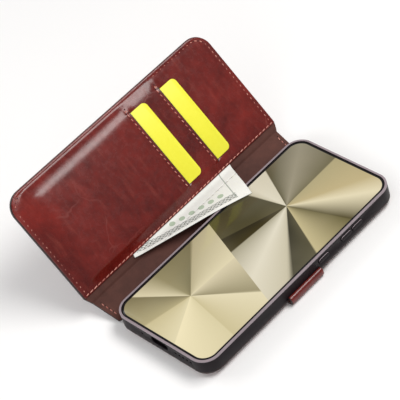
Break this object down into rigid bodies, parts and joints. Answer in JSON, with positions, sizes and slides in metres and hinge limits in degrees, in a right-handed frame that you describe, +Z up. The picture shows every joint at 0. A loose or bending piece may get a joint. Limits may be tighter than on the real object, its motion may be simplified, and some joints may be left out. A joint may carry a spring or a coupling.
{
  "type": "phone wallet case",
  "caption": "Leather book-style phone case with a soft plastic tray, card slots, a money pocket and a magnetic strap, holding a phone, cards and a folded note.",
  "frame": {"origin": "on the surface that the open case lies on, under the middle of its bounding box", "axes": "+X is the side with the strap and the buttons, +Y is the top end of the phone, +Z is up from the back towards the screen"},
  "size_m": [0.1472, 0.164, 0.0682],
  "materials": {
    "cover_leather": "waxed, glossy, fine grain",
    "inner_leather": "waxed, glossy, fine grain",
    "lining": "matt",
    "board": "matt",
    "steel": "plain",
    "thread": "twisted thread",
    "soft_plastic": "satin",
    "card": "satin",
    "paper": "matt, printed",
    "phone_metal": "satin",
    "phone_glass": "satin",
    "lens_glass": "gloss",
    "screen_glass": "gloss"
  },
  "bodies": {
    "base": {"back_leather": "cover_leather", "back_stitching": "thread", "tpu_tray": "soft_plastic", "camera_frame": "soft_plastic", "strap_root": "cover_leather"},
    "spine": {"spine_leather": "cover_leather", "spine_lining": "lining"},
    "cover": {"cover_leather": "cover_leather", "cover_board": "board", "closure_plate": "steel", "cover_lining": "lining", "inner_panel": "inner_leather", "card_pocket_upper": "inner_leather", "card_pocket_lower": "inner_leather", "edge_stitching": "thread", "slot_stitching": "thread", "seam_stitching": "thread", "banknote": "paper"},
    "strap_link": {"strap_link": "cover_leather"},
    "strap_side": {"strap_side": "cover_leather"},
    "strap_tip": {"strap_tip": "cover_leather", "strap_magnet": "steel", "strap_stitching": "thread"},
    "volume_up_button": {"volume_up_button": "soft_plastic"},
    "volume_down_button": {"volume_down_button": "soft_plastic"},
    "power_button": {"power_button": "soft_plastic"},
    "card_upper": {"card_upper": "card"},
    "card_lower": {"card_lower": "card"},
    "phone": {"phone_frame": "phone_metal", "phone_back_glass": "phone_glass", "phone_screen": "screen_glass", "phone_lenses": "lens_glass", "phone_keys": "phone_metal"}
  },
  "joints": [
    {"name": "spine_fold", "type": "hinge", "parent": "base", "child": "spine", "pos_m": [-0.00656, 0, 0.0005], "axis": [0, 1, 0], "range_deg": [-20.3, 69.7]},
    {"name": "cover_fold", "type": "hinge", "parent": "spine", "child": "cover", "pos_m": [-0.02382, 0, 0.00688], "axis": [0, 1, 0], "range_deg": [-30, 60]},
    {"name": "strap_fold", "type": "hinge", "parent": "base", "child": "strap_link", "pos_m": [0.07244, -0.0015, 0.0044], "axis": [0, -1, 0], "range_deg": [0, 176]},
    {"name": "strap_roll", "type": "hinge", "parent": "strap_link", "child": "strap_side", "pos_m": [0.07244, -0.0015, 0.0012], "axis": [0, -1, 0], "range_deg": [0, 88]},
    {"name": "strap_bend", "type": "hinge", "parent": "strap_side", "child": "strap_tip", "pos_m": [0.05844, -0.0015, 0.0012], "axis": [0, -1, 0], "range_deg": [0, 96]},
    {"name": "card_upper_slide", "type": "slide", "parent": "cover", "child": "card_upper", "axis": [0, -1, 0], "range_m": [-0.074, 0]},
    {"name": "card_lower_slide", "type": "slide", "parent": "cover", "child": "card_lower", "axis": [0, -1, 0], "range_m": [-0.074, 0]},
    {"name": "phone_lift", "type": "slide", "parent": "base", "child": "phone", "axis": [0, 0, -1], "range_m": [-0.015, 0]},
    {"name": "volume_up_press", "type": "slide", "parent": "base", "child": "volume_up_button", "axis": [-1, 0, 0], "range_m": [0, 0.0004], "stiffness_N_per_m": 5000},
    {"name": "volume_down_press", "type": "slide", "parent": "base", "child": "volume_down_button", "axis": [-1, 0, 0], "range_m": [0, 0.0004], "stiffness_N_per_m": 5000},
    {"name": "power_press", "type": "slide", "parent": "base", "child": "power_button", "axis": [-1, 0, 0], "range_m": [0, 0.0004], "stiffness_N_per_m": 5000}
  ],
  "couplings": [
    {"joint": "strap_roll", "follows": "strap_fold", "ratio": 0.5}
  ]
}
